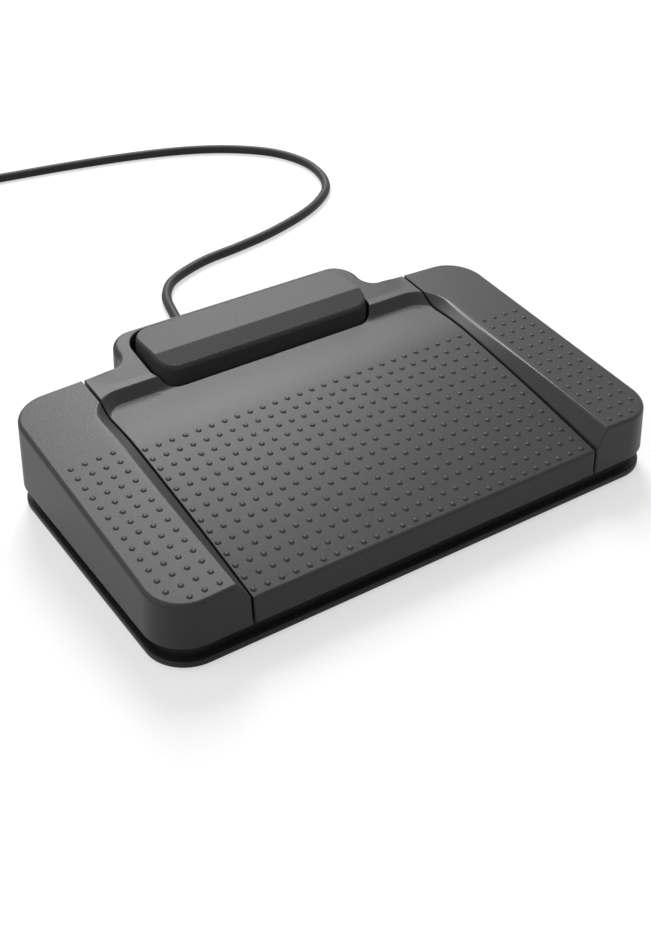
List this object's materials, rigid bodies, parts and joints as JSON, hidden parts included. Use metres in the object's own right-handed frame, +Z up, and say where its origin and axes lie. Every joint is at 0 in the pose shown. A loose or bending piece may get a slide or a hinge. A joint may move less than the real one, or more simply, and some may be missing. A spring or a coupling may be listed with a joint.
{
  "type": "foot pedal switch",
  "caption": "Low floor-standing foot control with rocking pedals side by side, a raised bar pedal at the rear and a USB cord.",
  "frame": {"origin": "centre of the footprint without the cord, on the floor under the rubber feet", "axes": "+X along the width to the user's right, +Y to the rear where the cord leaves, +Z up"},
  "size_m": [0.3713, 0.4159, 0.0461],
  "materials": {
    "pedal_plastic": "fine textured moulding",
    "bar_plastic": "fine textured moulding",
    "base_plastic": "moulded",
    "foot_rubber": "matte",
    "steel": "drawn",
    "magnet_nickel": "plated",
    "board": "coated",
    "chip": "moulded",
    "connector": "moulded",
    "cord_sheath": "satin",
    "plug_plastic": "moulded",
    "plug_metal": "plated"
  },
  "bodies": {
    "base": {"base_tray": "base_plastic", "rubber_feet": "foot_rubber", "pivot_rods": "steel", "pivot_caps": "base_plastic", "cap_screws": "steel", "bar_pin": "steel", "left_spring": "steel", "centre_springs": "steel", "right_spring": "steel", "bar_spring": "steel", "circuit_board": "board", "hall_sensors": "chip", "controller_chip": "chip", "cable_header": "connector", "board_screws": "steel", "bump_stops": "foot_rubber", "cord_clamp": "base_plastic", "clamp_screws": "steel", "strain_relief": "cord_sheath", "inner_lead": "cord_sheath", "cable": "cord_sheath", "cable_coil": "cord_sheath", "cable_tie": "plug_plastic", "usb_plug_body": "plug_plastic", "usb_plug_shell": "plug_metal", "usb_plug_tongue": "connector"},
    "left_rocker": {"left_pedal": "pedal_plastic", "left_magnet": "magnet_nickel"},
    "centre_rocker": {"centre_pedal": "pedal_plastic", "centre_magnet": "magnet_nickel"},
    "right_rocker": {"right_pedal": "pedal_plastic", "right_magnet": "magnet_nickel"},
    "bar_rocker": {"rear_bar": "bar_plastic", "bar_magnet": "magnet_nickel"}
  },
  "joints": [
    {"name": "left_press", "type": "hinge", "parent": "base", "child": "left_rocker", "pos_m": [0, 0.036, 0.018], "axis": [1, 0, 0], "range_deg": [0, 3], "stiffness_Nm_per_rad": 6, "springref_deg": -3.44, "deforming": ["left_spring"]},
    {"name": "centre_press", "type": "hinge", "parent": "base", "child": "centre_rocker", "pos_m": [0, 0.036, 0.018], "axis": [1, 0, 0], "range_deg": [0, 3], "stiffness_Nm_per_rad": 10, "springref_deg": -3.44, "deforming": ["centre_springs"]},
    {"name": "right_press", "type": "hinge", "parent": "base", "child": "right_rocker", "pos_m": [0, 0.036, 0.018], "axis": [1, 0, 0], "range_deg": [0, 3], "stiffness_Nm_per_rad": 6, "springref_deg": -3.44, "deforming": ["right_spring"]},
    {"name": "bar_press", "type": "hinge", "parent": "base", "child": "bar_rocker", "pos_m": [0, 0.0624, 0.022], "axis": [1, 0, 0], "range_deg": [0, 3.5], "stiffness_Nm_per_rad": 2, "springref_deg": -3.44, "deforming": ["bar_spring"]}
  ]
}
